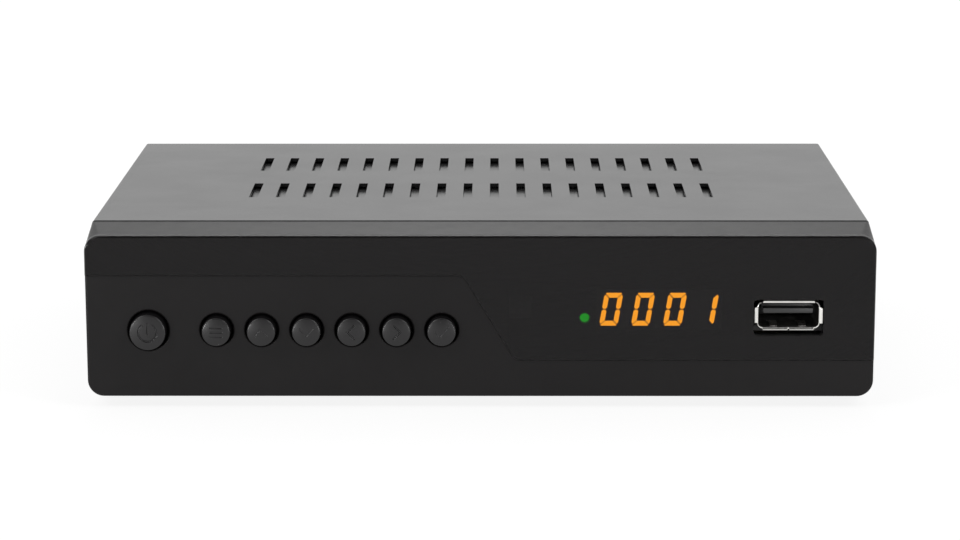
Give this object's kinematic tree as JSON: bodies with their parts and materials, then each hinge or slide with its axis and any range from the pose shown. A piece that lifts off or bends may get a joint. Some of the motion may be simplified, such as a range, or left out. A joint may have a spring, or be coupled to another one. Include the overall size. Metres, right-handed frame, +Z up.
{
  "type": "satellite tv receiver",
  "caption": "Small black set-top satellite television receiver with round front keys, amber digits behind a smoked pane, a front data socket and a vented steel lid.",
  "frame": {"origin": "under the middle of the whole object, on the plane that its feet stand on", "axes": "+X along the width to the right as seen from the front, the front faces -Y, +Z up"},
  "size_m": [0.168, 0.1234, 0.0389],
  "materials": {
    "panel_plastic": "black moulded plastic, satin",
    "smoked_pane": "smoked glossy plastic",
    "key_plastic": "black plastic, polished",
    "plunger_plastic": "pale moulded plastic",
    "switch_plastic": "black moulded plastic",
    "case_paint": "black satin paint",
    "guard_sheet": "black insulating sheet",
    "tray_steel": "galvanised sheet",
    "screw_black": "blackened steel",
    "screw_zinc": "zinc plated",
    "rubber": "soft rubber",
    "board_green": "solder mask",
    "display_body": "black display block",
    "light_amber": "lit amber bars",
    "dark_segment": "unlit bars",
    "light_green": "lit green lamp",
    "eye_plastic": "dark tinted plastic",
    "socket_steel": "bright plated steel",
    "socket_plastic": "black moulded plastic",
    "tongue_plastic": "black moulded plastic",
    "contact_gold": "gold plated",
    "header_plastic": "natural nylon",
    "cable_grey": "grey flat cable",
    "chip_black": "moulded package",
    "can_sleeve": "dark blue sleeve",
    "coil_ferrite": "ferrite",
    "sink_aluminium": "extruded",
    "tuner_tin": "tinned sheet",
    "antenna_nickel": "nickel plated",
    "insulator": "white insulator",
    "coax_orange": "orange moulded plastic"
  },
  "bodies": {
    "case": {"front_frame": "panel_plastic", "display_window": "smoked_pane", "key_switches": "switch_plastic", "front_board": "board_green", "panel_screws": "screw_zinc", "display_module": "display_body", "lit_segments": "light_amber", "dark_segments": "dark_segment", "status_led": "light_green", "ir_receiver": "eye_plastic", "usb_shell": "socket_steel", "usb_tongue": "tongue_plastic", "usb_contacts": "contact_gold", "riser_board": "board_green", "riser_header": "header_plastic", "base_tray": "tray_steel", "top_cover": "case_paint", "vent_guard": "guard_sheet", "case_screws": "screw_black", "rubber_feet": "rubber", "main_board": "board_green", "board_screws": "screw_zinc", "capacitors": "can_sleeve", "inductors": "coil_ferrite", "memory_chips": "chip_black", "main_chip": "chip_black", "heat_sink": "sink_aluminium", "crystal": "tuner_tin", "main_header": "header_plastic", "front_header": "header_plastic", "ribbon_cable": "cable_grey", "tuner_can": "tuner_tin", "loop_out_socket": "antenna_nickel", "loop_out_insulator": "insulator", "lnb_in_socket": "antenna_nickel", "lnb_in_insulator": "insulator", "coax_body": "coax_orange", "coax_ring": "antenna_nickel", "hdmi_shell": "socket_steel", "hdmi_tongue": "socket_plastic", "scart_shield": "socket_steel", "scart_block": "socket_plastic", "scart_feet": "socket_steel", "dc_jack": "socket_plastic", "dc_pin": "contact_gold"},
    "power_button": {"power_key": "key_plastic", "power_plunger": "plunger_plastic"},
    "menu_button": {"menu_key": "key_plastic", "menu_plunger": "plunger_plastic"},
    "up_button": {"up_key": "key_plastic", "up_plunger": "plunger_plastic"},
    "down_button": {"down_key": "key_plastic", "down_plunger": "plunger_plastic"},
    "left_button": {"left_key": "key_plastic", "left_plunger": "plunger_plastic"},
    "right_button": {"right_key": "key_plastic", "right_plunger": "plunger_plastic"},
    "confirm_button": {"confirm_key": "key_plastic", "confirm_plunger": "plunger_plastic"}
  },
  "joints": [
    {"name": "power_press", "type": "slide", "parent": "case", "child": "power_button", "axis": [0, 1, 0], "range_m": [0, 0.0003], "stiffness_N_per_m": 500, "springref_m": -0.002},
    {"name": "menu_press", "type": "slide", "parent": "case", "child": "menu_button", "axis": [0, 1, 0], "range_m": [0, 0.0003], "stiffness_N_per_m": 500, "springref_m": -0.002},
    {"name": "up_press", "type": "slide", "parent": "case", "child": "up_button", "axis": [0, 1, 0], "range_m": [0, 0.0003], "stiffness_N_per_m": 500, "springref_m": -0.002},
    {"name": "down_press", "type": "slide", "parent": "case", "child": "down_button", "axis": [0, 1, 0], "range_m": [0, 0.0003], "stiffness_N_per_m": 500, "springref_m": -0.002},
    {"name": "left_press", "type": "slide", "parent": "case", "child": "left_button", "axis": [0, 1, 0], "range_m": [0, 0.0003], "stiffness_N_per_m": 500, "springref_m": -0.002},
    {"name": "right_press", "type": "slide", "parent": "case", "child": "right_button", "axis": [0, 1, 0], "range_m": [0, 0.0003], "stiffness_N_per_m": 500, "springref_m": -0.002},
    {"name": "confirm_press", "type": "slide", "parent": "case", "child": "confirm_button", "axis": [0, 1, 0], "range_m": [0, 0.0003], "stiffness_N_per_m": 500, "springref_m": -0.002}
  ]
}
